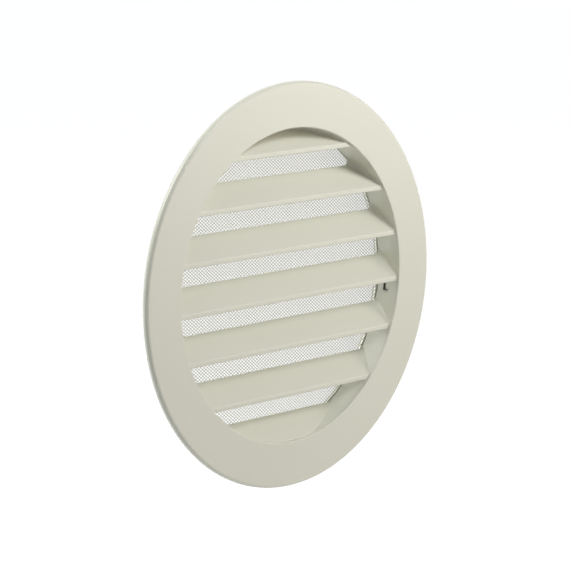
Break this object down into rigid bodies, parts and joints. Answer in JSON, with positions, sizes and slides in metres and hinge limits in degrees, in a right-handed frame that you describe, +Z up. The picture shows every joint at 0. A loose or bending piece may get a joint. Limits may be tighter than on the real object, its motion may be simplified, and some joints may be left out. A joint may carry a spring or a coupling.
{
  "type": "round vent grille",
  "caption": "Round wall vent grille: a flat flange with sloping louvre blades cast in one piece, insect mesh behind them, and a collar that pushes into a duct.",
  "frame": {"origin": "on the collar's axis, at the flange's back face, which lies on the wall", "axes": "-Y out of the wall towards the viewer (the front), +Y into the duct, +Z up, +X to the viewer's right"},
  "size_m": [0.15, 0.0136, 0.15],
  "materials": {
    "powder_coat": "satin pearl-beige powder coat on die-cast aluminium",
    "mesh_wire": "plain woven aluminium wire",
    "ring_wire": "drawn stainless spring wire",
    "spring_steel": "dark tempered spring strip"
  },
  "bodies": {
    "root": {"grille_body": "powder_coat", "insect_mesh": "mesh_wire", "retaining_ring": "ring_wire", "spring_clip_right": "spring_steel", "spring_clip_left": "spring_steel"}
  },
  "joints": []
}
